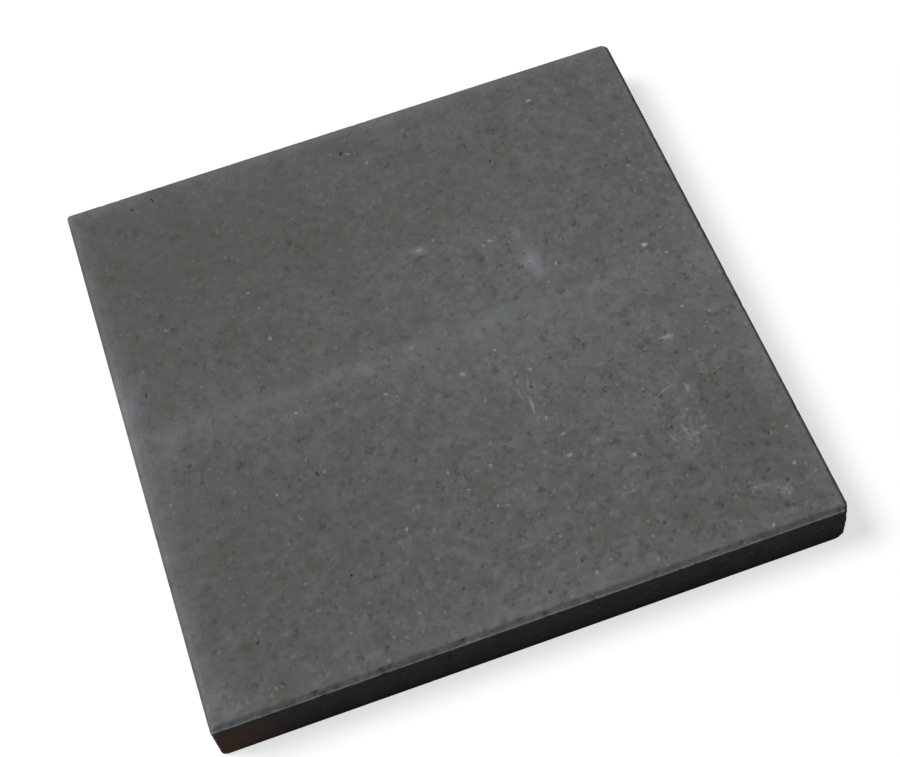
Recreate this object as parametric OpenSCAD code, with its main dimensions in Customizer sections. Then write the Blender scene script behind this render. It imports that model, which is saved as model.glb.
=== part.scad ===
// Square concrete paving slab, pressed in one piece in a steel mould: a flat wearing face,
// a bevelled rim with a narrow lip at its foot, plain upright sides and a flat bed.
// The origin is at the middle of the bed, and +Z points up through the wearing face.

/* [Slab] */
// Length over the sides, along X
slab_length = 400; // [200:10:600]
// Width over the sides, along Y
slab_width = 400; // [200:10:600]
// Thickness from the bed to the wearing face
slab_thickness = 38; // [25:1:80]

/* [Rim] */
// Width of the bevel round the wearing face, seen from above
bevel_run = 2.5; // [1:0.1:8]
// Height that the bevel falls from the wearing face to the lip
bevel_drop = 2.5; // [1:0.1:8]
// Width of the flat lip between the foot of the bevel and the sides
lip_width = 1.3; // [0.5:0.1:4]
// Radius of the wearing face's corners, seen from above
face_corner_radius = 1; // [0.5:0.1:10]

/* [Hidden] */
// Dark grey of the dry concrete
concrete_grey = [0.36, 0.36, 0.35];
// How far a cut runs past the surface that it opens
overrun = 1;
// Steps in a full turn, for the preview of the rounds
$fn = 64;

// The rim runs round the corners concentrically, so the sides' corners follow the face's
side_corner_radius = face_corner_radius + bevel_run + lip_width;
lip_height = slab_thickness - bevel_drop;
// Distance of each corner's centre from the middle of the slab
corner_x = slab_length / 2 - side_corner_radius;
corner_y = slab_width / 2 - side_corner_radius;
// The corners' centres, counter-clockwise from the one at +X and +Y
corner_centres = [
    [corner_x, corner_y],
    [-corner_x, corner_y],
    [-corner_x, -corner_y],
    [corner_x, -corner_y],
];
quarter_turn = 90;

// The slab's outline seen from above: a rectangle with round corners
module plan() {
    square([slab_length, 2 * corner_y], center = true);
    square([2 * corner_x, slab_width], center = true);
    for (centre = corner_centres) translate(centre) circle(r = side_corner_radius);
}

// Section of what the rim takes off the blank: the bevel, then the lip.
// Its x runs outwards from a corner's centre and its y is the height above the bed.
module rim_section() {
    polygon([
        [face_corner_radius, slab_thickness],
        [face_corner_radius + bevel_run, lip_height],
        [side_corner_radius + overrun, lip_height],
        [side_corner_radius + overrun, slab_thickness + overrun],
        [face_corner_radius, slab_thickness + overrun],
    ]);
}

// The rim's cut along one side, which lies `out` from the middle and is `run` long between its corners
module rim_side(out, run) {
    translate([out, 0, 0])
        rotate([quarter_turn, 0, 0])
            linear_extrude(height = run, center = true) rim_section();
}

// The rim's cut all the way round: four straight sides and four quarter turns
module rim_cut() {
    for (quarter = [0 : len(corner_centres) - 1]) {
        along_x = quarter % 2 == 0;
        rotate([0, 0, quarter * quarter_turn])
            rim_side(along_x ? corner_x : corner_y, 2 * (along_x ? corner_y : corner_x));
        translate(corner_centres[quarter])
            rotate([0, 0, quarter * quarter_turn])
                rotate_extrude(angle = quarter_turn) rim_section();
    }
}

// The whole slab: a plain blank with the rim pressed into its upper edge
module paving_slab() {
    color(concrete_grey)
        difference() {
            linear_extrude(height = slab_thickness) plan();
            rim_cut();
        }
}

paving_slab();
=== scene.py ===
import math

import bpy
import numpy as np
from mathutils import Matrix, Vector, geometry, kdtree, noise


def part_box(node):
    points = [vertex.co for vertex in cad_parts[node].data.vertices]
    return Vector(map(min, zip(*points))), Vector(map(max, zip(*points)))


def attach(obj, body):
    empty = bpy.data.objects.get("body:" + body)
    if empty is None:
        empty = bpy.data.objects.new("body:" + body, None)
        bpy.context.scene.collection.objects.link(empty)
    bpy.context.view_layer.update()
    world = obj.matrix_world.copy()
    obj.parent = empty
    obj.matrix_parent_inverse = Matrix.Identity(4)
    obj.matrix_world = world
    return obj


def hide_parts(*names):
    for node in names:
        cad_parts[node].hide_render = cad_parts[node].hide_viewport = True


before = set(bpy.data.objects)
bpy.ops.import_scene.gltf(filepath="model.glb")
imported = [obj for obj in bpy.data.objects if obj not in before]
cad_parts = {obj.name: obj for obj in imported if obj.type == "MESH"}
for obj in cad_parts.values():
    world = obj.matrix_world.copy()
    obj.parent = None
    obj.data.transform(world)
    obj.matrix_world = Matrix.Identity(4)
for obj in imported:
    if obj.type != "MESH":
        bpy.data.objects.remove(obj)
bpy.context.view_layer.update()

# Slab
# One block of dark concrete, pressed in a steel mould and turned out while it is still green.
# The face has the mould's close skin, broken by hollows and grains of sand; the sides keep drag
# marks, and the bed is the coarser side. Dust, scuffs and small chips came with handling.

MM = 0.001
chance = np.random.default_rng(seed=23)

slab_low, slab_high = (np.array(corner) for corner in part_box("paving_slab"))
skin_allowance = 0.02 * MM
half_length, half_width = (slab_high - slab_low)[:2] / 2 - skin_allowance
face_height = slab_high[2] - skin_allowance
bed_height = slab_low[2] + skin_allowance

# Corners in the order near left, near right, far right and far left, each before its side
corner_signs = [(-1, -1), (1, -1), (1, 1), (-1, 1)]
corner_radii = [1.8 * MM, 2.4 * MM, 5.6 * MM, 2.8 * MM]
sharpest_radius = 0.6 * MM
arc_steps = 8
side_steps = [320, 150, 150, 150]
columns = len(corner_signs) * arc_steps + sum(side_steps)


def outline(inset):
    """Points round the slab, counter-clockwise and `inset` from its sides, and the way out at each."""
    arcs = []
    for corner, (sign_x, sign_y) in enumerate(corner_signs):
        radius = max(corner_radii[corner] - inset, sharpest_radius)
        turn = np.radians(180 + 90 * corner + np.linspace(0, 90, arc_steps))
        way = np.c_[np.cos(turn), np.sin(turn)]
        middle_x = sign_x * (half_length - inset - radius)
        middle_y = sign_y * (half_width - inset - radius)
        arcs.append((np.array([middle_x, middle_y]) + radius * way, way))
    points, ways = [], []
    for (arc, way), (next_arc, _), steps in zip(arcs, arcs[1:] + arcs[:1], side_steps):
        share = np.linspace(0, 1, steps + 2)[1:-1, None]
        points += [arc, arc[-1] + (next_arc[0] - arc[-1]) * share]
        ways += [way, np.repeat(way[-1:], steps, axis=0)]
    return np.vstack(points), np.vstack(ways)


# A surface point is a row: two places on the surface, the depth below it, and how strong its marks are
PLACE = slice(0, 2)
DEPTH = 2
MARKS = slice(3, None)


def points_of(across, along, depth=0.0, pit_stain_and_shade=0.0, grain=0.0, tone=0.0, scrape=0.0):
    """Surface points, from one value for each of them or one for all."""
    rows = np.broadcast_arrays(across, along, depth, pit_stain_and_shade, grain, tone, scrape)
    return np.stack(rows, axis=-1).reshape(-1, len(rows))


def waves(places, size, seed):
    """Smooth random waves at these places, about -1 to 1. Their size is one length, or one each way."""
    size_across, size_along = np.broadcast_to(size, 2)
    return np.array([noise.noise((x / size_across, y / size_along, seed)) for x, y in places[:, PLACE]])


ring_wander = (0.65, 1.35)


def ragged_ring(middle, radius, steps, lean=0.0, stretch=1.0):
    """A ring whose radius wanders, longer along its lean, with its first point anywhere."""
    turn = chance.uniform(0, 2 * math.pi) + np.arange(steps) * 2 * math.pi / steps
    reach = radius * chance.uniform(*ring_wander, steps)
    long = reach * np.cos(turn) * stretch
    short = reach * np.sin(turn) / stretch
    return (middle[0] + long * math.cos(lean) - short * math.sin(lean),
            middle[1] + long * math.sin(lean) + short * math.cos(lean))


# Hollows and grains have an outer and an inner ring, at these shares of their radius
outer_share, inner_share = 1.3, 0.6
hollow_stretch, floor_stain_and_shade_share, low_depth_share = (1.0, 1.5), 0.8, 1.1


def hollow(middle, radius, depth, stain_and_shade):
    """A shallow place where paste is missing: a ragged rim, a floor inside it and a low middle, darkened
    with stain and painted shade.
    """
    lean = chance.uniform(0, math.pi)
    stretch = chance.uniform(*hollow_stretch)
    rim = ragged_ring(middle, outer_share * radius, steps=8, lean=lean, stretch=stretch)
    floor = ragged_ring(middle, inner_share * radius, steps=6, lean=lean, stretch=stretch)
    return np.vstack([
        points_of(*rim),
        points_of(*floor, depth, pit_stain_and_shade=floor_stain_and_shade_share * stain_and_shade),
        points_of(*middle, low_depth_share * depth, pit_stain_and_shade=stain_and_shade),
    ])


def pore(middle, radius, depth, stain_and_shade):
    """A small round hole left by a bubble of air, darkened with stain and painted shade."""
    rim = ragged_ring(middle, radius, steps=6)
    return np.vstack([points_of(*rim), points_of(*middle, depth, pit_stain_and_shade=stain_and_shade)])


grain_stretch, bare_edge_share = (1.0, 1.35), 0.9
groove_depth, crown_height = 0.05 * MM, 0.06 * MM


def sand_grain(middle, radius, tone):
    """A grain of sand that shows at the surface, in a fine groove, with a low crown."""
    lean = chance.uniform(0, math.pi)
    stretch = chance.uniform(*grain_stretch)
    groove = ragged_ring(middle, outer_share * radius, steps=8, lean=lean, stretch=stretch)
    edge = ragged_ring(middle, inner_share * radius, steps=7, lean=lean, stretch=stretch)
    return np.vstack([
        points_of(*groove, groove_depth, tone=tone),
        points_of(*edge, grain=bare_edge_share, tone=tone),
        points_of(*middle, -crown_height, grain=1.0, tone=tone),
    ])


scrape_step, fewest_scrape_steps, scrape_depth = 0.9 * MM, 4, 0.04 * MM
scrape_fade, scrape_unevenness = 0.12, (0.7, 1.0)


def scrape(path, width, strength):
    """A pale scrape through a few points: a rubbed line that fades to its ends, between two plain ones."""
    bends = np.array(path) * MM
    passed = np.r_[0, np.cumsum(np.linalg.norm(np.diff(bends, axis=0), axis=1))]
    share = np.linspace(0, 1, max(fewest_scrape_steps, round(passed[-1] / scrape_step)))
    line = np.stack([np.interp(share * passed[-1], passed, row) for row in bends.T], axis=-1)
    ahead = np.gradient(line, axis=0)
    side = np.c_[-ahead[:, 1], ahead[:, 0]] / np.linalg.norm(ahead, axis=1)[:, None] * width
    fade = np.sin(math.pi * (scrape_fade + (1 - 2 * scrape_fade) * share))
    rubbed = strength * fade * chance.uniform(*scrape_unevenness, len(share))
    middle = points_of(*line.T, scrape_depth, scrape=rubbed)
    edges = [points_of(*(line + way * side).T) for way in (-1, 1)]
    return np.vstack([middle, *edges])


def scatter(count, low, high, margin):
    """Random places in a rectangle, clear of its edges by the margin."""
    return chance.uniform(np.array(low) + margin, np.array(high) - margin, (count, 2))


def random_radius(usual, spread, least, most):
    """A random radius, given by the logarithm of the usual one in mm, its spread, and two limits in mm."""
    return MM * np.clip(chance.lognormal(usual, spread), least, most)


# Loose points stand in rows: where these start and end, how far a point may stray and how clear of a mark
# it keeps, as shares of their spacing
row_start_share, row_end_share, stray_share, clear_share = 0.8, 0.6, 0.35, 0.45
# For the triangulation: only triangles inside the outline, and how near two points are one
TRIANGLES_INSIDE, SAME_PLACE = 1, 1e-9


def sheet(edge, marks, spacing):
    """Triangles over a flat outline, between its points, the marks' and loose ones, in that order."""
    tree = kdtree.KDTree(len(marks))
    for index, place in enumerate(marks[:, PLACE]):
        tree.insert((*place, 0.0), index)
    tree.balance()
    low, high = edge[:, PLACE].min(0), edge[:, PLACE].max(0)
    starts, ends = low + row_start_share * spacing, high - row_end_share * spacing
    rows = [np.arange(start, end, spacing) for start, end in zip(starts, ends)]
    loose = np.stack(np.meshgrid(*rows), axis=-1).reshape(-1, 2)
    loose = loose + chance.uniform(-stray_share, stray_share, loose.shape) * spacing
    clear = [tree.find((*place, 0.0))[2] > clear_share * spacing for place in loose]
    points = np.vstack([edge, marks, points_of(*loose[np.array(clear)].T)])
    flat = [Vector(place) for place in points[:, PLACE]]
    rim = [(i, (i + 1) % len(edge)) for i in range(len(edge))]
    _, _, faces, sources, _, _ = geometry.delaunay_2d_cdt(flat, rim, [], TRIANGLES_INSIDE, SAME_PLACE)
    source = np.array([found[0] for found in sources])
    return points, source[np.array(faces)]


# The wearing face, inside its rim. Along the right side the rim is narrower and worn round
bevel_run, bevel_drop = 2.5 * MM, 2.5 * MM
lip_width = 1.3 * MM
face_inset = lip_width + bevel_run
right_rim_share = 0.8


def facing_right(way):
    """1 where the way out is to the right, down to 0 where it is square to that."""
    return np.clip(way[:, 0], 0, 1) ** 2


def rim_outline(inset):
    """An outline in the rim, nearer the side along the right."""
    ring, way = outline(inset)
    ring[:, 0] += (1 - right_rim_share) * inset * facing_right(way)
    return ring, way


# Waves in the edge of the face: their height, size and seed
edge_waves = [(0.3 * MM, 7 * MM, 1.7), (0.2 * MM, 2.2 * MM, 4.1)]
face_edge, face_way = rim_outline(face_inset)
edge_wander = sum(height * waves(face_edge, size, seed) for height, size, seed in edge_waves)
face_edge = face_edge - face_way * np.abs(edge_wander)[:, None]
face_low, face_high = face_edge.min(0), face_edge.max(0)
open_slope = 0.28


def openness(places):
    """How open the skin is: about 1, and more of it to the right and to the near side."""
    return 1 + open_slope * places[..., 0] / half_length - open_slope * places[..., 1] / half_width


face_marks, stains = [], []
# Hollows lie in small clusters, which makes their outlines ragged, and some lie in a brown stain. Radii
# and reaches are in mm, and a slope is the depth as a share of the radius
cluster_count, cluster_margin, largest_cluster, cluster_step = 600, 6 * MM, 3, 1.5
cluster_radii = {"usual": 0.28, "spread": 0.3, "least": 0.7, "most": 2.4}
hollow_shares, hollow_slopes = (0.6, 1.0), (0.12, 0.28)
least_stain_and_shade, further_stain_and_shade = 0.06, 0.9
stained_share, stain_reaches, stain_strengths = 0.4, (1.8, 4.5), (0.5, 1.7)
for place in scatter(cluster_count, face_low, face_high, cluster_margin):
    radius = random_radius(**cluster_radii)
    stain_and_shade = min((least_stain_and_shade + further_stain_and_shade * chance.uniform() ** 2) * openness(place), 1.0)
    steepness = (1 + openness(place)) / 2
    if chance.uniform() < stained_share:
        stains.append((*place / MM, *chance.uniform(*stain_reaches, 2), chance.uniform(*stain_strengths)))
    for _ in range(chance.integers(1, largest_cluster + 1)):
        size = radius * chance.uniform(*hollow_shares)
        depth = size * chance.uniform(*hollow_slopes) * steepness
        face_marks.append(hollow(place, size, depth, stain_and_shade))
        place = place + chance.uniform(-cluster_step, cluster_step, 2) * radius

# Pores all over the face
pore_count, pore_margin = 1500, 2 * MM
pore_radii, pore_slopes, pore_stains_and_shade = (0.3, 0.65), (0.3, 0.8), (0.1, 0.6)
for place in scatter(pore_count, face_low, face_high, pore_margin):
    radius = MM * chance.uniform(*pore_radii)
    depth = radius * chance.uniform(*pore_slopes)
    face_marks.append(pore(place, radius, depth, chance.uniform(*pore_stains_and_shade)))

# Grains of sand all over the face, in the common tones
grain_count, grain_margin, last_common_tone = 470, 3 * MM, 0.82
grain_radii = {"usual": -0.4, "spread": 0.35, "least": 0.35, "most": 1.3}
for place in scatter(grain_count, face_low, face_high, grain_margin):
    radius = random_radius(**grain_radii)
    face_marks.append(sand_grain(place, radius, chance.uniform(0, last_common_tone)))

# Holes that stand out: the radius, how dark they are with stain and painted shade, and the place of each,
# in mm
notable_holes = [
    (1.4, 1.5, [(-181, 36), (-167, -25), (-155, 186), (-140, 189), (-93, -60), (-6, 177)]),
    (1.2, 1.0, [(-93, -134), (-108, -151), (-33, -167), (-151, -186), (-158, -156), (-87, -186), (-97, -33),
                (66, 45), (88, 130), (160, 96), (124, 60), (52, -50), (146, -44), (123, -110), (166, -159),
                (174, -169), (39, -175), (59, -175), (14, -187), (94, -169)]),
    (0.8, 1.0, [(141, -49), (115, -84), (125, -114), (166, -174), (165, -178), (175, -173), (83, 48),
                (163, -84), (119, -91), (155, -81), (91, -101), (116, -118), (86, -191), (106, -156),
                (144, 164), (83, -133), (89, 157), (53, -103), (98, -121)]),
]
notable_slope = 0.5
for radius, stain_and_shade, places in notable_holes:
    for x, y in places:
        face_marks.append(hollow((x * MM, y * MM), radius * MM, notable_slope * radius * MM, stain_and_shade))

# Stones that stand out: place and radius in mm, and tone, which picks a colour of sand_tones
PALE, WHITE, TAN, OCHRE, RED = 0.81, 0.86, 0.91, 0.95, 0.99
notable_stones = [
    (159, 25, 1.9, WHITE), (131, 170, 2.2, WHITE), (100, 33, 1.2, WHITE), (170, 14, 1.0, PALE),
    (65, 67, 1.5, PALE), (14, -25, 1.7, PALE), (21, -49, 1.2, PALE), (-36, -21, 1.4, PALE),
    (94, -119, 1.7, PALE), (-94, -13, 1.2, PALE), (-94, 48, 1.3, PALE), (153, -194, 1.3, PALE),
    (19, 78, 1.6, PALE), (-10, 6, 1.0, PALE), (30, 82, 1.0, PALE), (56, -38, 1.3, PALE),
    (53, -75, 1.2, PALE), (163, -29, 1.2, PALE), (178, -39, 1.1, PALE), (182, -160, 1.3, PALE),
    (60, 65, 1.1, PALE), (-17, -89, 1.0, PALE), (9, -94, 1.0, PALE), (-9, -105, 0.9, PALE),
    (4, -122, 1.1, PALE), (32, -155, 0.9, PALE), (188, -135, 0.9, PALE), (44, -185, 1.3, PALE),
    (-121, -65, 0.9, PALE), (57, -105, 1.9, TAN), (-157, 80, 1.0, TAN), (-98, 88, 1.0, TAN),
    (-53, -117, 1.3, TAN), (90, 21, 1.1, OCHRE), (8, 162, 1.2, OCHRE), (-2, 175, 1.2, TAN),
    (-138, -130, 1.9, RED), (-112, -70, 1.1, RED),
]
for x, y, radius, tone in notable_stones:
    face_marks.append(sand_grain((x * MM, y * MM), radius * MM, tone))

# Scrapes that stand out: the points along each and half its width, in mm, and its strength
notable_scrapes = [
    ([(46, -36), (45, -44), (43, -50), (44, -57)], 1.1, 0.5),
    ([(52, -42), (50, -49), (49, -53)], 1.25, 0.55),
    ([(55, -43), (54, -49), (53, -55)], 1.0, 0.4),
    ([(48, -57), (48, -63), (47, -70)], 1.3, 0.95),
    ([(48, -71), (47, -77)], 0.9, 0.4),
    ([(94, -51), (101, -50)], 1.0, 0.45),
    ([(141, -47), (149, -47)], 1.4, 1.2),
    ([(143, -34), (146, -36)], 1.1, 0.45),
    ([(150, -31), (150, -35)], 1.1, 0.35),
    ([(119, -88), (121, -87), (129, -83), (135, -81)], 1.0, 0.7),
    ([(142, -84), (143, -85), (142, -89)], 1.9, 1.2),
    ([(133, -99), (133, -104), (131, -108)], 1.25, 0.4),
    ([(129, -111), (130, -114), (130, -118)], 1.25, 0.65),
    ([(133, -116), (135, -120), (134, -124), (133, -126)], 1.25, 0.65),
    ([(130, -120), (130, -125), (129, -127)], 1.0, 0.35),
    ([(120, -114), (121, -119), (124, -119)], 1.1, 0.5),
    ([(140, -117), (143, -116)], 1.25, 0.85),
    ([(141, -112), (145, -109)], 1.0, 0.35),
    ([(132, -78), (134, -81)], 1.25, 0.4),
    ([(118, -83), (120, -84)], 1.0, 0.5),
    ([(152, -167), (154, -167)], 1.25, 0.95),
    ([(156, -167), (161, -168)], 1.25, 0.75),
    ([(166, -166), (166, -169)], 1.0, 0.4),
    ([(174, -171), (176, -168)], 1.0, 0.45),
    ([(180, -174), (182, -174)], 1.25, 0.5),
    ([(-20, 40), (-12, 43)], 1.0, 0.3),
    ([(132, -42), (135, -37), (139, -35), (144, -35), (150, -36)], 1.1, 0.35),
    ([(146, -35), (145, -40)], 1.1, 0.3),
    ([(186, -47), (184, -52)], 1.1, 0.35),
    ([(139, -69), (140, -74), (140, -77)], 1.1, 0.35),
    ([(135, -87), (136, -90), (133, -96)], 1.0, 0.25),
    ([(136, -106), (134, -111)], 1.1, 0.35),
    ([(139, -109), (138, -114)], 1.0, 0.3),
    ([(118, -93), (118, -97)], 1.1, 0.35),
    ([(105, -75), (104, -79)], 1.25, 0.4),
    ([(119, -124), (122, -125)], 1.25, 0.4),
    ([(143, -128), (142, -132)], 1.1, 0.4),
    ([(187, -75), (189, -75)], 1.6, 0.45),
]
for path, width, strength in notable_scrapes:
    face_marks.append(scrape(path, width * MM, strength))

face_spacing = 2.2 * MM
face_points, face_triangles = sheet(points_of(*face_edge.T), np.vstack(face_marks), face_spacing)

# The rim as rings from the face outwards: distance from the side, drop below the face, and roughness
rim_profile = [
    (lip_width + 0.82 * bevel_run, 0.32 * MM, 0.14 * MM),
    (lip_width + 0.42 * bevel_run, 0.42 * bevel_drop, 0.16 * MM),
    (0.74 * lip_width, 0.975 * bevel_drop, 0.12 * MM),
    (0.66 * lip_width, 0.995 * bevel_drop, 0.10 * MM),
    (0.25 * MM, bevel_drop + 0.01 * MM, 0.08 * MM),
    (0.05 * MM, bevel_drop + 0.10 * MM, 0.05 * MM),
    (0.0, bevel_drop + 0.5 * MM, 0.03 * MM),
]
# Waves in the rim: their size, and a seed that the ring's row is added to
rim_waves = [(5 * MM, 10.3), (1.7 * MM, 20.7)]
# Chips out of the front rim: place along it, distance in from the side, reach and depth, in mm
front_chips = [
    (-193, 0.2, 1.2, 0.6), (-163, 0.2, 1.0, 0.5), (-135, 2.3, 1.4, 1.2), (-131, 0.2, 1.1, 0.8),
    (-94, 0.4, 1.6, 1.2), (-62, 0.2, 1.2, 0.5), (-44, 2.3, 1.5, 1.3), (-30, 2.4, 1.0, 0.5),
    (-9, 3.0, 1.2, 0.9), (7, 1.2, 1.6, 1.1), (16, 3.2, 1.0, 0.5), (37, 0.2, 1.1, 0.5),
    (77, 2.4, 1.3, 0.7), (91, 0.2, 1.1, 0.6), (101, 0.2, 1.1, 0.7), (114, 2.8, 1.2, 1.0),
    (131, 3.2, 1.2, 1.0), (144, 3.3, 1.6, 0.5), (168, 3.3, 1.6, 0.5), (177, 0.3, 1.2, 0.6),
    (194, 0.6, 1.4, 0.8),
]
# Dents in the bevel and the lip, anywhere round the slab: place in the outline, inset, reach and depth
dent_count = 170
dent_columns = chance.integers(0, columns, dent_count)
dent_insets = chance.uniform(0.6, 4.0, dent_count) * MM
dent_reaches = chance.uniform(0.7, 1.5, dent_count) * MM
dent_depths = chance.uniform(0.1, 0.45, dent_count) * MM
rim_dents = list(zip(dent_columns, dent_insets, dent_reaches, dent_depths))
# How much of a bite's depth goes into the side and down, and how dark the deepest are with painted shade
bite_in_share, bite_down_share, bite_stain_and_shade = 0.8, 0.6, 0.8

rim_rings = []
for row, (inset, drop, rough) in enumerate(rim_profile):
    ring, way = rim_outline(inset)
    wander = rough * sum(np.abs(waves(ring, size, row + seed)) for size, seed in rim_waves)
    bite = np.zeros(columns)
    for x, chip_inset, reach, depth in front_chips:
        away_x, away_y = ring[:, 0] - x * MM, ring[:, 1] + half_width - chip_inset * MM
        bite += depth * MM * np.exp(-(np.hypot(away_x, away_y) / (reach * MM)) ** 2)
    for column, dent_inset, reach, depth in rim_dents:
        away = np.linalg.norm(ring - ring[column], axis=1)
        bite += depth * np.exp(-(away ** 2 + (inset - dent_inset) ** 2) / reach ** 2)
    ring = ring - way * (wander + bite_in_share * bite * (1 - inset / face_inset))[:, None]
    worn = facing_right(way) if row < len(rim_profile) - 1 else 0.0
    worn_drop = bevel_drop * (1 - inset / face_inset) ** 2
    height = face_height - drop + worn * (drop - worn_drop) - wander - bite_down_share * bite
    rim_rings.append((ring, height, bite_stain_and_shade * np.clip(bite / MM, 0, 1)))


def single_hollows(places, radii, slopes, darkness):
    """A hollow at each place, with its radius, its slope and how dark it is drawn from these ranges."""
    made = []
    for place in places:
        radius = random_radius(**radii)
        depth = radius * chance.uniform(*slopes)
        made.append(hollow(place, radius, depth, chance.uniform(*darkness)))
    return np.vstack(made)


# The sides, rolled out: their places are the length round the slab and the height
arris_height = 0.3 * MM
side_top = face_height - rim_profile[-1][1]
round_ring, round_way = outline(0.0)
round_steps = np.linalg.norm(np.roll(round_ring, -1, axis=0) - round_ring, axis=1)
round_length = np.r_[0, np.cumsum(round_steps)]
seam_steps = 14
seam = np.linspace(side_top, arris_height, seam_steps + 2)[1:-1]
side_edge = np.vstack([
    points_of(round_length, arris_height),
    points_of(round_length[-1], seam[::-1]),
    points_of(round_length[::-1], side_top),
    points_of(0.0, seam),
])
side_spacing, side_hollow_count, side_margin = 2.4 * MM, 420, 2.5 * MM
side_radii = {"usual": -0.3, "spread": 0.35, "least": 0.4, "most": 1.5}
side_marks = single_hollows(
    scatter(side_hollow_count, (0.0, arris_height), (round_length[-1], side_top), side_margin),
    side_radii, slopes=(0.2, 0.45), darkness=(0.2, 0.6))
side_points, side_triangles = sheet(side_edge, side_marks, side_spacing)

# The bed, with the small arris that leads to it as rings: distance in from the side, and height
bed_profile = [(0.0, arris_height), (0.08 * MM, 0.08 * MM), (0.3 * MM, 0.0)]
bed_edge, _ = outline(bed_profile[-1][0])
bed_spacing, bed_hollow_count, bed_margin = 4.6 * MM, 300, 4 * MM
bed_radii = {"usual": 0.3, "spread": 0.4, "least": 0.8, "most": 3.0}
bed_marks = single_hollows(
    scatter(bed_hollow_count, bed_edge.min(0), bed_edge.max(0), bed_margin),
    bed_radii, slopes=(0.3, 0.6), darkness=(0.3, 0.8))
bed_points, bed_triangles = sheet(points_of(*bed_edge.T), bed_marks, bed_spacing)

# All points of the slab in the frame, with their marks, and its triangles with the part they belong to
FACE, SIDES, BED = 0, 1, 2
placed_points, placed_marks, placed_triangles, placed_parts = [], [], [], []


def place_points(positions, rows):
    """Adds points to the slab, with the marks of these surface points, and returns their numbers."""
    first = sum(len(points) for points in placed_points)
    placed_points.append(positions)
    placed_marks.append(rows[:, MARKS])
    return first + np.arange(len(positions))


def place_triangles(corners, part):
    """Adds triangles to a part of the slab, by the numbers of their corners."""
    placed_triangles.append(corners)
    placed_parts.append(np.full(len(corners), part))


def join_rings(upper, lower, part):
    """Two triangles for each step between two rings, the upper one first."""
    next_upper, next_lower = np.roll(upper, -1), np.roll(lower, -1)
    place_triangles(np.c_[upper, lower, next_lower], part)
    place_triangles(np.c_[upper, next_lower, next_upper], part)


# The face lies a little below the highest point that it may reach, and swells and ripples
face_sinking = 0.12 * MM
face_swell = 0.10 * MM * (1 + waves(face_points, size=60 * MM, seed=3.3)) / 2
face_ripple = 0.03 * MM * waves(face_points, size=7 * MM, seed=8.1)
face_sunk = face_sinking + np.clip(face_swell + face_ripple, 0, None) + face_points[:, DEPTH]
face_ids = place_points(np.c_[face_points[:, PLACE], face_height - face_sunk], face_points)
place_triangles(face_ids[face_triangles], FACE)

above = face_ids[:columns]
for row, (ring, height, bitten_stain_and_shade) in enumerate(rim_rings):
    ring_ids = place_points(np.c_[ring, height], points_of(*ring.T, pit_stain_and_shade=bitten_stain_and_shade))
    join_rings(above, ring_ids, SIDES if row == len(rim_rings) - 1 else FACE)
    above = ring_ids
side_top_ids = above

bed_rings = []
for inset, height in bed_profile[:-1]:
    ring, way = outline(inset)
    arris_seed = 33.1 + 7 * inset / MM
    wander = 0.08 * MM * np.abs(waves(ring, size=4 * MM, seed=arris_seed))
    ring = ring - way * wander[:, None]
    bed_rings.append(place_points(np.c_[ring, np.full(columns, bed_height + height)], points_of(*ring.T)))
bed_swell = 0.2 * MM * np.abs(waves(bed_points, size=35 * MM, seed=2.2))
bed_ripple = 0.25 * MM * np.abs(waves(bed_points, size=9 * MM, seed=5.9))
bed_wave = bed_ripple + bed_swell
bed_wave[:columns] = 0
bed_rise = bed_wave + bed_points[:, DEPTH]
bed_ids = place_points(np.c_[bed_points[:, PLACE], bed_height + bed_rise], bed_points)
place_triangles(bed_ids[bed_triangles][:, ::-1], BED)
join_rings(bed_rings[0], bed_rings[1], SIDES)
join_rings(bed_rings[1], bed_ids[:columns], BED)

# The sides take the rings above and below them as their edges, so only the seam and the points between
# are new
seam_points = side_points[len(side_edge) - seam_steps:len(side_edge)]
new_points = np.vstack([seam_points, side_points[len(side_edge):]])
side_drag = 0.10 * MM * np.abs(waves(new_points, size=(1.6 * MM, 16 * MM), seed=6.6))
side_swell = 0.15 * MM * np.abs(waves(new_points, size=14 * MM, seed=9.4))
side_in = side_drag + side_swell + new_points[:, DEPTH]
ring_and_way = np.c_[round_ring, round_way]
ring_and_way = np.vstack([ring_and_way, ring_and_way[:1]])
around_x, around_y, way_x, way_y = (
    np.interp(new_points[:, 0], round_length, row) for row in ring_and_way.T)
side_positions = np.c_[around_x - way_x * side_in, around_y - way_y * side_in, new_points[:, 1]]
side_ids = place_points(side_positions, new_points)
seam_ids = side_ids[:seam_steps]
side_numbers = np.concatenate([
    bed_rings[0], bed_rings[0][:1],
    seam_ids[::-1],
    np.r_[side_top_ids, side_top_ids[0]][::-1],
    seam_ids,
    side_ids[seam_steps:],
])
place_triangles(side_numbers[side_triangles], SIDES)

slab_vertices, slab_marks = np.vstack(placed_points), np.vstack(placed_marks)
slab_triangles, slab_parts = np.vstack(placed_triangles), np.concatenate(placed_parts)

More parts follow.
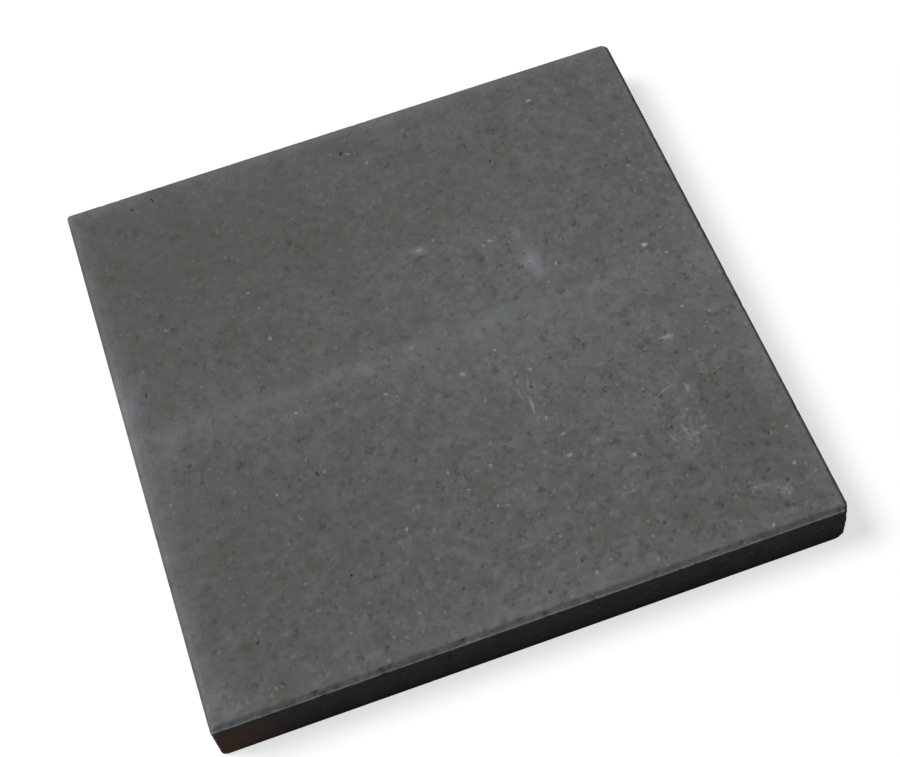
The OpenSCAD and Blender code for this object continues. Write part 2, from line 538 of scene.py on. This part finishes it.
# Three corners are broken or worn off, one of them round: the way out of the corner, its height, and how
# far each break reaches along X, Y and Z in mm
lip_height = face_height - bevel_drop
corner_breaks = [
    ((-1, -1, -1), bed_height, (5.4, 4.0, 1.6)),
    ((1, -1, -1), bed_height, (2.2, 2.2, 6.5)),
    ((1, -1, -1), bed_height, (3.6, 3.6, 4.6)),
    ((1, -1, -1), bed_height, (6.5, 6.5, 2.4)),
    ((1, -1, 1), lip_height, (3.8, 3.8, 24)),
]
break_roughness = 0.08
for way_out, height, reach in corner_breaks:
    corner = np.array([way_out[0] * half_length, way_out[1] * half_width, height])
    slope = -np.array(way_out) / (np.array(reach) * MM)
    rough = break_roughness * waves(slab_vertices, size=2.5 * MM, seed=2.9)
    short = 1 + rough - (slab_vertices - corner) @ slope
    slab_vertices = slab_vertices + np.clip(short, 0, None)[:, None] * slope / (slope @ slope)

slab_mesh = bpy.data.meshes.new("slab_body")
slab_mesh.from_pydata(slab_vertices.tolist(), [], slab_triangles.tolist())

# The slab's surface laid out flat for baking: the face large, the sides beside it and the bed small
face_span, bed_span, layout_gap = 0.78, 0.19, 0.01
strip_span = face_span * (face_height - bed_height) / (2 * half_length)
shares = (slab_vertices - [-half_length, -half_width, bed_height]) / (2 * half_length)
corner_shares = shares[slab_triangles]
outwards = corner_shares.mean(axis=1) - 0.5
along_x = np.abs(outwards[:, 1]) > np.abs(outwards[:, 0])
second = np.where(along_x, outwards[:, 1], outwards[:, 0]) > 0
strip_start = face_span + layout_gap + np.where(second, strip_span + layout_gap, 0)
side_length = np.where(along_x[:, None], corner_shares[..., 0], corner_shares[..., 1]) * face_span
side_height = strip_start[:, None] + corner_shares[..., 2] * face_span
lying, standing = (slab_parts == SIDES) & along_x, (slab_parts == SIDES) & ~along_x
on_bed = slab_parts == BED
layout = corner_shares[..., :2] * face_span
layout[lying] = np.stack([side_length, side_height], axis=-1)[lying]
layout[standing] = np.stack([side_height, 1 - side_length], axis=-1)[standing]
layout[on_bed] = corner_shares[on_bed][..., :2] * bed_span + [face_span + layout_gap, 0]
bake_map = slab_mesh.uv_layers.new(name="OFBake")
bake_map.uv.foreach_set("vector", layout.astype(np.float32).ravel())

# Dust on the face: soft patches, each its middle, its reach along X and Y in mm, and its strength
dust_patches = [
    # The streak across the face
    (-185, 1, 45, 9, 0.85), (-105, 3, 50, 7, 0.85), (-35, 3, 45, 9, 0.7), (40, 5, 55, 8, 0.55),
    (130, 7, 45, 6, 0.35), (192, 4, 14, 12, 0.4), (-185, -12, 30, 12, 0.6), (-110, -13, 35, 7, 0.35),
    (50, -10, 70, 22, 0.3), (60, 0, 130, 60, 0.2),
    # The left, far, near and right edges
    (-197, 35, 13, 33, 1.15), (-196, 40, 5, 16, 1.2), (-194, -50, 13, 45, 0.6), (-196, -130, 6, 9, 0.5),
    (-180, 195, 14, 5, 0.9), (30, 195, 11, 6, 1.1), (165, 196, 12, 4, 0.3), (0, -193, 115, 8, 0.4),
    (190, -78, 7, 12, 0.5), (190, -95, 8, 30, 0.5), (190, -5, 8, 20, 0.3),
    # The long smear above the streak, the small one to its left, and the dust beside them
    (84, 65, 4, 6, 0.7), (86, 55, 3.5, 6, 1.6), (85, 43, 6.5, 8, 2.1), (86, 31, 4.5, 6, 1.8),
    (18, 77, 4.5, 3, 2.2), (-30, 62, 20, 8, 0.25), (10, 73, 22, 6, 0.3), (65, 68, 5, 4, 0.5),
    (50, 70, 20, 6, 0.3),
    # Thin dust elsewhere
    (44, -42, 11, 11, 0.45), (131, -104, 9, 16, 0.3), (-188, -184, 14, 14, 0.15), (-85, 182, 36, 12, 0.3),
    (165, -172, 8, 6, 0.5), (130, -20, 70, 60, 0.2), (100, 60, 110, 170, 0.25), (14, -25, 3, 3, 0.8),
    (76, -88, 13, 12, 0.5), (111, -89, 5, 5, 0.5), (2, -170, 10, 9, 0.4), (52, -181, 14, 7, 0.4),
    (4, 107, 15, 10, 0.3), (50, 113, 10, 9, 0.25), (-82, -16, 9, 8, 0.3),
]
# Dust that gathers along two edges: the side's axis and sign, the reach inwards in mm, and the strength at
# the two ends of the edge
edge_dust = [(0, 1, 8, 0.85, 0.45), (1, -1, 7, 0.5, 0.5)]
# Paler bands along the other two edges: axis and sign, distance in and reach in mm, and strength
edge_bands = [(0, -1, 5, 5, 0.6), (1, 1, 3, 7, 0.66)]
# Places where the skin is rubbed in a blotch, given as the dust's are
rub_patches = [
    (170, -175, 3.5, 3.5, 1.2), (146, -47, 4, 3, 0.8), (143, -86, 3, 3, 0.6), (132, -119, 4, 6, 0.5),
    (158, -168, 5, 2, 0.4), (121, -118, 4, 3, 0.4), (-190, -180, 8, 8, 0.35), (-183, -190, 6, 5, 0.4),
]
# Brown stains, given likewise, beside those of the hollows
earth_patches = [
    (-130, 135, 90, 60, 0.9), (168, -125, 36, 50, 0.8), (-150, -105, 60, 60, 0.6), (60, 120, 90, 30, 0.4),
    (130, -185, 40, 20, 0.5), (-150, -188, 9, 8, 1.8), (-70, -90, 50, 9, 0.45), (-115, -156, 13, 10, 0.5),
    (-154, 46, 16, 12, 0.4), (154, 60, 16, 16, 0.4),
]


def patchy(places, patches):
    """How strongly soft patches cover these places."""
    cover = np.zeros(len(places))
    for x, y, reach_x, reach_y, strength in patches:
        off_x, off_y = (places[:, 0] / MM - x) / reach_x, (places[:, 1] / MM - y) / reach_y
        cover += strength * np.exp(-off_x ** 2 - off_y ** 2)
    return cover


def inwards(places, axis, sign):
    """How far these places are from one side of the slab, in mm."""
    return ((half_length, half_width)[axis] - sign * places[:, axis]) / MM


dust = patchy(slab_vertices, dust_patches)
for axis, sign, reach, *strengths in edge_dust:
    strength = np.interp(slab_vertices[:, 1 - axis], [-half_length, half_length], strengths)
    dust += strength * np.exp(-inwards(slab_vertices, axis, sign) / reach)
wear = np.zeros(len(slab_vertices))
for axis, sign, distance, reach, strength in edge_bands:
    wear += strength * np.exp(-((inwards(slab_vertices, axis, sign) - distance) / reach) ** 2)

# The foot of the sides is darker with painted shade, and the left end of the front side is reddish,
# less so higher up and not at the corner itself
foot_shade_height, foot_shade_fade = 28 * MM, 14 * MM
painted_foot_shade = np.clip((foot_shade_height - slab_vertices[:, 2]) / foot_shade_fade, 0, 1)
red_tint_end, red_tint_fade, red_tint_corner, red_tint_thinning = -190 * MM, 32 * MM, 2.5 * MM, 0.6
red_tint = np.exp(-(np.clip(slab_vertices[:, 0] - red_tint_end, 0, None) / red_tint_fade) ** 2)
red_tint *= 1 - red_tint_thinning * slab_vertices[:, 2] / face_height
red_tint *= np.clip((slab_vertices[:, 0] + half_length) / red_tint_corner, 0, 1)

# What is on top is the face with its rim
rim_reach, front_reach = 4 * MM, 2 * MM
on_top = slab_vertices[:, 2] > face_height - rim_reach
on_front = slab_vertices[:, 1] < -half_width + front_reach
slab_marks = np.c_[
    slab_marks,
    np.where(on_top, dust, 0),
    np.where(on_top, wear, 0),
    np.where(on_top, patchy(slab_vertices, earth_patches + stains), 0),
    np.where(on_top, patchy(slab_vertices, rub_patches), 0),
    np.where(on_top, 0, painted_foot_shade),
    np.where(on_front & ~on_top, red_tint, 0),
    openness(slab_vertices),
]
mark_names = ["pit_stain_and_shade", "grain", "tone", "scrape", "dust", "wear", "earth", "rub", "painted_foot_shade", "red_tint", "open"]
for name, values in zip(mark_names, slab_marks.T):
    made = slab_mesh.attributes.new(name, "FLOAT", "POINT")
    made.data.foreach_set("value", values.astype(np.float32))
sharp_angle = math.radians(40)
slab_mesh.shade_smooth()
slab_mesh.set_sharp_from_angle(angle=sharp_angle)


def show(name, data):
    """A new object, linked into the scene."""
    made = bpy.data.objects.new(name, data)
    bpy.context.scene.collection.objects.link(made)
    return made


slab = show("slab_body", slab_mesh)


def add(tree, kind, inputs, **settings):
    """Adds a node. An input is given by name or number, as a value or as the socket that feeds it."""
    made = tree.nodes.new("ShaderNode" + kind)
    for name, value in settings.items():
        setattr(made, name, value)
    for name, value in inputs.items():
        if isinstance(value, bpy.types.NodeSocket):
            tree.links.new(value, made.inputs[name])
        else:
            made.inputs[name].default_value = value
    return made


def calculate(tree, operation, first, second, clamp=False):
    """What an operation on two values gives."""
    return add(tree, "Math", {0: first, 1: second}, operation=operation, use_clamp=clamp).outputs[0]


def new_group(name, values):
    """A shader node group that makes a mask from a place and these values, and its sockets inside."""
    group = bpy.data.node_groups.new(name, "ShaderNodeTree")
    group.interface.new_socket("Vector", in_out="INPUT", socket_type="NodeSocketVector")
    for value in values:
        group.interface.new_socket(value, in_out="INPUT", socket_type="NodeSocketFloat")
    group.interface.new_socket("Mask", in_out="OUTPUT", socket_type="NodeSocketFloat")
    given = group.nodes.new("NodeGroupInput").outputs
    result = group.nodes.new("NodeGroupOutput").inputs
    return group, given, result


def make_clouds():
    """Patches of Size mm and finer ones in them, as a mask that runs from 0 at From to 1 at To. Shift
    moves them, so that clouds of like sizes don't fall together."""
    group, given, result = new_group("clouds", ["Shift", "Size", "Detail", "Grit", "From", "To"])
    density = calculate(group, "DIVIDE", 1 / MM, given["Size"])
    moved = add(group, "VectorMath", {0: given["Vector"], 1: given["Shift"]}, operation="ADD")
    cloud = add(group, "TexNoise", {"Vector": moved.outputs["Vector"], "Scale": density,
                                    "Detail": given["Detail"], "Roughness": given["Grit"]})
    spread = add(group, "MapRange", {"Value": cloud.outputs["Fac"], "From Min": given["From"],
                                     "From Max": given["To"]})
    group.links.new(spread.outputs["Result"], result["Mask"])
    return group


def make_specks():
    """Ragged spots in cells of Size mm. Share of the cells have one, and Radius is its largest share of a
    cell."""
    ripple_density, ripple_reach = 0.7 / MM, 2 * MM
    smallest_share, core_share = 0.35, 0.3
    group, given, result = new_group("specks", ["Size", "Share", "Radius"])
    density = calculate(group, "DIVIDE", 1 / MM, given["Size"])
    ripple = add(group, "TexNoise", {"Vector": given["Vector"], "Scale": ripple_density, "Detail": 1.0})
    rippled = add(group, "VectorMath", {0: ripple.outputs["Color"], 1: (ripple_reach,) * 3,
                                        2: given["Vector"]}, operation="MULTIPLY_ADD")
    cells = add(group, "TexVoronoi", {"Vector": rippled.outputs["Vector"], "Scale": density})
    random = add(group, "SeparateColor", {"Color": cells.outputs["Color"]}).outputs
    chosen = calculate(group, "LESS_THAN", random["Red"], given["Share"])
    uneven = add(group, "MapRange", {"Value": random["Green"], "To Min": smallest_share, "To Max": 1.0})
    reach = calculate(group, "MULTIPLY", given["Radius"], uneven.outputs["Result"])
    core = calculate(group, "MULTIPLY", reach, core_share)
    spot = add(group, "MapRange", {"Value": cells.outputs["Distance"], "From Min": reach, "From Max": core})
    shown = calculate(group, "MULTIPLY", spot.outputs["Result"], chosen)
    group.links.new(shown, result["Mask"])
    return group


# Concrete: cement paste from dark to pale in ruddy and green clouds, with sand, hollows, dust and scuffs
dark_paste = (0.0777, 0.0773, 0.0766, 1)
pale_paste = (0.1521, 0.1517, 0.1526, 1)
ruddy = (0.1140, 0.1000, 0.1045, 1)
greenish = (0.1040, 0.1200, 0.1115, 1)
bluish = (0.1060, 0.1080, 0.1240, 1)
yellowish = (0.1130, 0.1130, 0.0940, 1)
pale_blue = (0.1205, 0.1260, 0.1340, 1)
dull_yellow = (0.0945, 0.0940, 0.0800, 1)
blotch = (0.0725, 0.0722, 0.0680, 1)
bloom = (0.1375, 0.1415, 0.1390, 1)
earth_colour = (0.0860, 0.0855, 0.0700, 1)
dust_colour = (0.198, 0.205, 0.224, 1)
wear_colour = (0.200, 0.202, 0.200, 1)
speck_colour = (0.062, 0.061, 0.055, 1)
fleck_colour = (0.195, 0.194, 0.183, 1)
# Part stain and part painted shade in hollows, pores and chips
hollow_stain_and_shade_colour = (0.050, 0.049, 0.044, 1)
scuff_colour = (0.268, 0.265, 0.264, 1)
# Painted shade at the foot of the sides
foot_shade_colour = (0.042, 0.042, 0.070, 1)
# A reddish tint on the left end of the front side
red_tint_colour = (0.215, 0.142, 0.102, 1)
# Where each tone of sand starts, and its colour
sand_tones = [
    (0.00, (0.125, 0.125, 0.121)), (0.25, (0.165, 0.163, 0.155)), (0.45, (0.103, 0.098, 0.089)),
    (0.56, (0.207, 0.205, 0.196)), (0.68, (0.150, 0.144, 0.129)), (0.80, (0.255, 0.258, 0.261)),
    (0.84, (0.400, 0.400, 0.390)), (0.90, (0.262, 0.259, 0.238)), (0.94, (0.240, 0.228, 0.196)),
    (0.98, (0.135, 0.107, 0.088)),
]
# Clouds in the paste: tint, size in mm, detail, grit, the span of the noise that they fade over, and cover
paste_clouds = [
    (pale_paste, 6, 2, 0.85, 0.15, 0.85, 1.0),
    (ruddy, 11, 1, 0.6, 0.46, 0.72, 0.6), (greenish, 15, 1, 0.6, 0.50, 0.72, 0.9),
    (bluish, 9, 1, 0.6, 0.48, 0.72, 0.4), (yellowish, 12, 1, 0.6, 0.48, 0.72, 0.55),
    (pale_blue, 20, 2, 0.6, 0.45, 0.72, 0.6), (dull_yellow, 27, 2, 0.6, 0.45, 0.72, 0.6),
]
# Clouds that are stronger where the skin is open, likewise
open_clouds = [(blotch, 6, 1, 0.7, 0.52, 0.7, 0.42), (bloom, 8, 1, 0.7, 0.52, 0.7, 0.6)]
# How much of the paste each mark hides where its strength is 1
mark_covers = {"earth": 0.4, "dust": 0.44, "wear": 0.5, "grain": 0.85, "pit_stain_and_shade": 0.6, "scrape": 0.95,
               "painted_foot_shade": 0.26, "red_tint": 0.95}
speck_cover, fleck_cover, rub_cover = 0.4, 0.7, 0.6

clouds, specks = make_clouds(), make_specks()
concrete = bpy.data.materials.new("concrete")
concrete.use_nodes = True
concrete_tree = concrete.node_tree
surface_place = add(concrete_tree, "TexCoord", {}).outputs["Object"]


def grouped(group, **inputs):
    """The mask of a node group that is placed in the concrete with these values."""
    return add(concrete_tree, "Group", {"Vector": surface_place, **inputs}, node_tree=group).outputs["Mask"]


def cloudy(size, detail, grit, start, end, shift=0.0):
    """The mask of clouds in the concrete."""
    return grouped(clouds, Shift=shift, Size=size, Detail=detail, Grit=grit, From=start, To=end)


def mark(name):
    """One of the marks that the mesh carries."""
    return add(concrete_tree, "Attribute", {}, attribute_name=name).outputs["Fac"]


def times(value, other):
    """Two values multiplied, and kept from 0 to 1."""
    return calculate(concrete_tree, "MULTIPLY", value, other, clamp=True)


def covered(name):
    """How much of the paste a mark hides."""
    return times(mark(name), mark_covers[name])


def laid_over(under, over, cover):
    """A colour laid over another where `cover` says."""
    return add(concrete_tree, "MixRGB", {"Fac": cover, "Color1": under, "Color2": over}).outputs["Color"]


colour = dark_paste
open_skin = mark("open")
for row, (tint, *cloud, cover) in enumerate(paste_clouds + open_clouds):
    mask = times(cloudy(*cloud, shift=row), cover)
    if row >= len(paste_clouds):
        mask = times(mask, open_skin)
    colour = laid_over(colour, tint, mask)

sand = add(concrete_tree, "ValToRGB", {"Fac": mark("tone")})
ramp = sand.color_ramp
ramp.interpolation = "CONSTANT"
while len(ramp.elements) < len(sand_tones):
    ramp.elements.new(1.0)
for element, (start, tone) in zip(ramp.elements, sand_tones):
    element.position = start
    element.color = (*tone, 1)

dark_specks = grouped(specks, Size=4.4, Share=0.45, Radius=0.5)
fleck_spots = grouped(specks, Size=3.7, Share=0.16, Radius=0.6)
pale_flecks = times(fleck_spots, cloudy(size=1.5, detail=1, grit=0.6, start=0.35, end=0.6))
rubbed_spots = times(mark("rub"), cloudy(size=3, detail=1, grit=0.6, start=0.3, end=0.6))
# What lies on the paste, from below upwards: its colour, and where it covers what is under it
layers = [
    (earth_colour, covered("earth")),
    (dust_colour, times(covered("dust"), cloudy(size=12, detail=2, grit=0.6, start=0.05, end=0.7))),
    (wear_colour, times(covered("wear"), cloudy(size=18, detail=2, grit=0.6, start=0.2, end=0.6))),
    (speck_colour, times(times(dark_specks, speck_cover), open_skin)),
    (fleck_colour, times(times(pale_flecks, fleck_cover), open_skin)),
    (sand.outputs["Color"], covered("grain")),
    # Hollows, pores and chips darkened, part stain and part painted shade
    (hollow_stain_and_shade_colour, covered("pit_stain_and_shade")),
    (scuff_colour, times(rubbed_spots, rub_cover)),
    (scuff_colour, covered("scrape")),
    # Painted shade darkens the foot of the sides
    (foot_shade_colour, covered("painted_foot_shade")),
    # The reddish tint on the left end of the front side
    (red_tint_colour, covered("red_tint")),
]
for tint, cover in layers:
    colour = laid_over(colour, tint, cover)

fine_grit = cloudy(size=1.2, detail=1, grit=0.5, start=0.3, end=0.7)
relief = add(concrete_tree, "Bump", {"Height": fine_grit, "Distance": 0.08 * MM, "Strength": 0.8})
shader = concrete_tree.nodes["Principled BSDF"]
shader.inputs["Roughness"].default_value = 0.9
shader.inputs["Specular IOR Level"].default_value = 0.01
concrete_tree.links.new(colour, shader.inputs["Base Color"])
concrete_tree.links.new(relief.outputs["Normal"], shader.inputs["Normal"])
slab_mesh.materials.append(concrete)

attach(slab, "root")
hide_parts("paving_slab")

# Floor
# A wide pale floor that the slab lies on. The camera sees it as white paper with the slab's soft
# shadow, and the light that it throws back on the slab is that of a dull grey floor.
floor_reach = 4.0
floor_corners = [(sign_x * floor_reach, sign_y * floor_reach, 0) for sign_x, sign_y in corner_signs]
floor_mesh = bpy.data.meshes.new("floor")
floor_mesh.from_pydata(floor_corners, [], [(0, 1, 2, 3)])
floor = show("floor", floor_mesh)


def seen_directly(tree):
    """1 for what the camera sees, also in a reflection or through glass, and 0 for light thrown back."""
    path = add(tree, "LightPath", {}).outputs
    reflected = calculate(tree, "ADD", path["Is Glossy Ray"], path["Is Transmission Ray"])
    return calculate(tree, "ADD", path["Is Camera Ray"], reflected, clamp=True)


dull_grey, paper_grey, paper_glow = (0.24, 0.24, 0.24, 1), (0.34, 0.34, 0.34, 1), 0.70
paper = bpy.data.materials.new("floor_paper")
paper.use_nodes = True
paper_tree = paper.node_tree
paper_tree.nodes.clear()
dull = add(paper_tree, "BsdfDiffuse", {"Color": dull_grey}).outputs[0]
lit = add(paper_tree, "BsdfDiffuse", {"Color": paper_grey}).outputs[0]
glow = add(paper_tree, "Emission", {"Strength": paper_glow}).outputs[0]
white = add(paper_tree, "AddShader", {0: lit, 1: glow}).outputs[0]
floor_look = add(paper_tree, "MixShader", {0: seen_directly(paper_tree), 1: dull, 2: white}).outputs[0]
add(paper_tree, "OutputMaterial", {"Surface": floor_look})
floor_mesh.materials.append(paper)

# Light
# A large soft lamp far off, above, behind and to the left of the slab, in a dim room. The room is
# white where the camera sees it.
lamp_way = Vector((-0.7, 0.32, 1.0)).normalized()
lamp_data = bpy.data.lights.new("key_lamp", "SUN")
lamp_data.angle = math.radians(28)
lamp_data.energy = 3.58
lamp = show("key_lamp", lamp_data)
lamp.rotation_euler = lamp_way.to_track_quat("Z", "Y").to_euler()
lamp.location = lamp_way

room_grey, room_white = (0.05, 0.05, 0.05, 1), (1, 1, 1, 1)
room = bpy.data.worlds.new("room")
room.use_nodes = True
room_tree = room.node_tree
room_tree.nodes.clear()
dim = add(room_tree, "Background", {"Color": room_grey}).outputs[0]
backdrop = add(room_tree, "Background", {"Color": room_white}).outputs[0]
room_look = add(room_tree, "MixShader", {0: seen_directly(room_tree), 1: dim, 2: backdrop}).outputs[0]
add(room_tree, "OutputWorld", {"Surface": room_look})
bpy.context.scene.world = room

# Camera
# A camera with a long lens, before the slab, above it and a little to its left. It is rolled a little,
# so that the slab lies aslant.
camera_data = bpy.data.cameras.new("camera")
camera_data.sensor_width = 36
camera_data.lens = 70.5
camera_place = Vector((-101.2, -606.3, 993.1)) * MM
camera_aim = Vector((6.1, -23.7, 35.5)) * MM
camera_roll = math.radians(-9.73)
look = (camera_aim - camera_place).to_track_quat("-Z", "Y").to_matrix().to_4x4()
camera = show("camera", camera_data)
camera.matrix_world = Matrix.Translation(camera_place) @ look @ Matrix.Rotation(camera_roll, 4, "Z")
bpy.context.scene.camera = camera
bpy.context.scene.view_settings.view_transform = "Standard"
